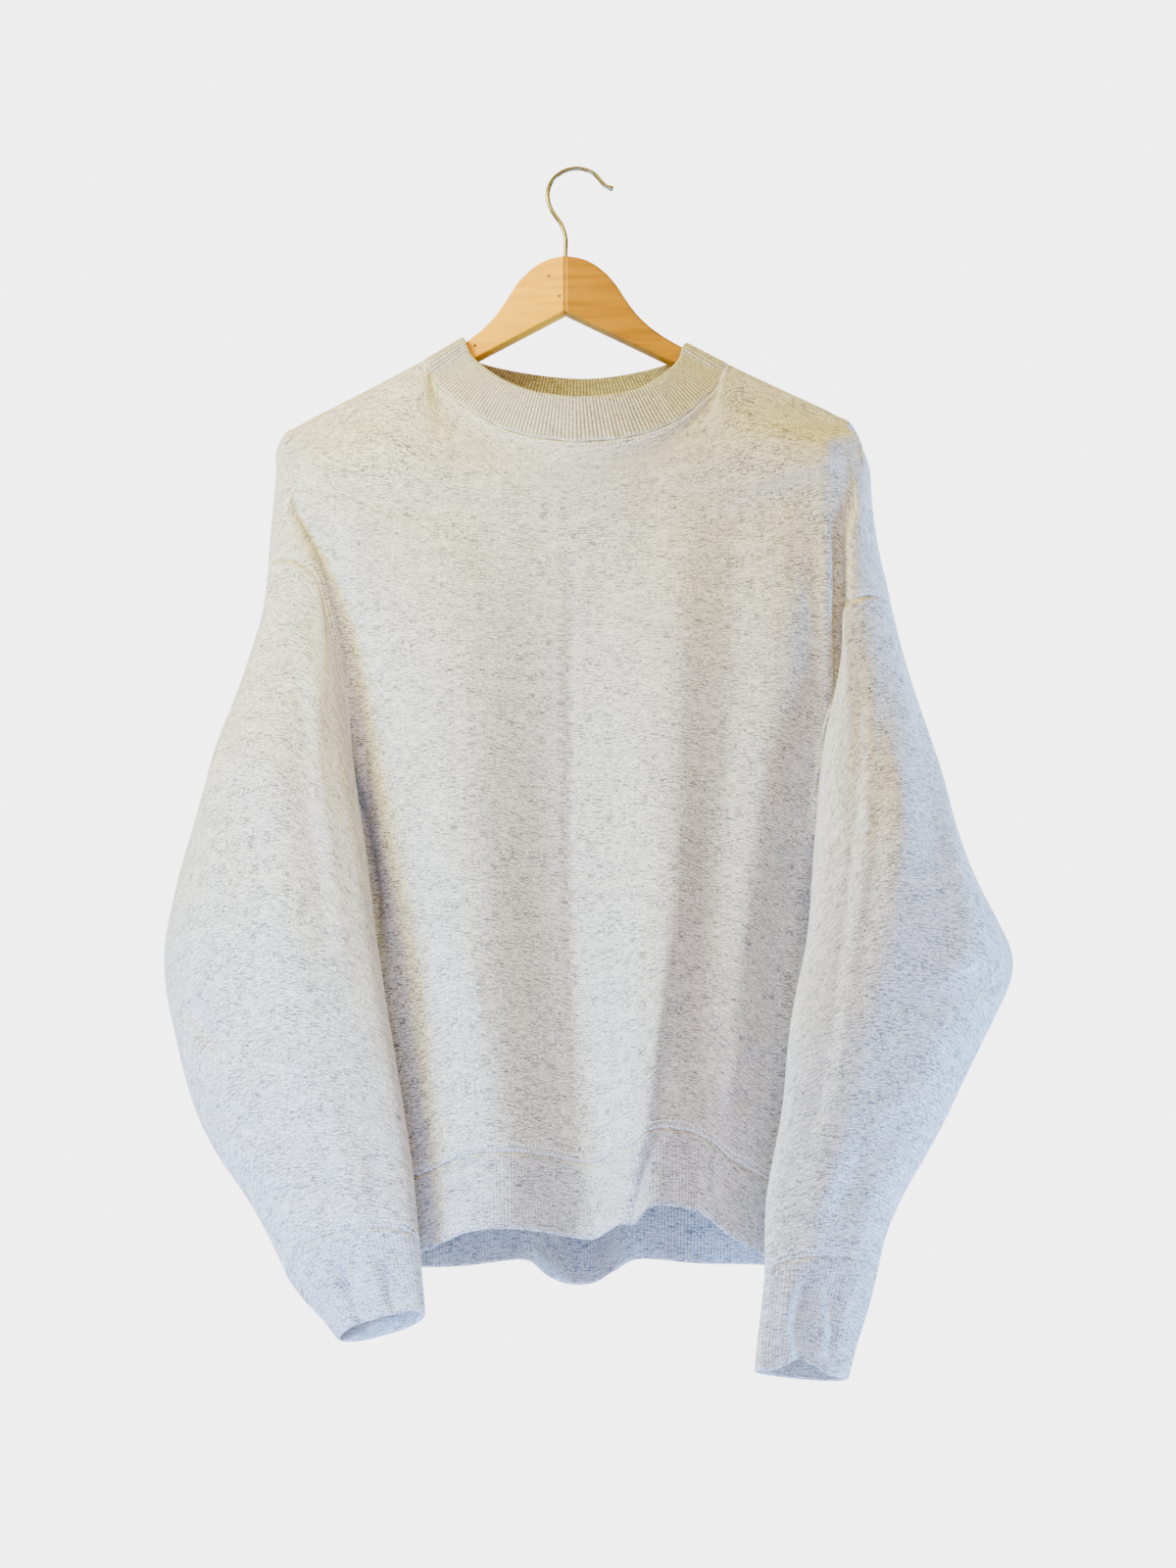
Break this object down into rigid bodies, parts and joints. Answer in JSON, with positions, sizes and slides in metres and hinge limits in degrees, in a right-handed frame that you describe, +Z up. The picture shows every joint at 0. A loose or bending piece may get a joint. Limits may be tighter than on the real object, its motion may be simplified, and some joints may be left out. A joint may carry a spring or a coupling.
{
  "type": "crewneck sweatshirt on a wooden hanger",
  "caption": "Heather ash crewneck sweatshirt with ribbed collar, cuffs and hem band, hanging on a curved wooden hanger with a wire hook.",
  "frame": {"origin": "inside top of the hook, where it sits on a rail", "axes": "+Z up, the garment's front faces -Y, +X to the right as seen from the front"},
  "size_m": [0.6492, 0.1562, 0.9835],
  "materials": {
    "fleece": "brushed-back fleece, off-white with short grey flecks",
    "rib": "fine rib knit, off-white with grey flecks",
    "pale_wood": "clear satin lacquer",
    "amber_wood": "clear satin lacquer",
    "hook_wire": "bright plating"
  },
  "bodies": {
    "root": {"front": "fleece", "back": "fleece", "sleeve_left": "fleece", "sleeve_right": "fleece", "collar": "rib", "cuff_left": "rib", "cuff_right": "rib", "hem_band": "rib", "hanger_left": "pale_wood", "hanger_right": "amber_wood", "hook": "hook_wire"}
  },
  "joints": []
}
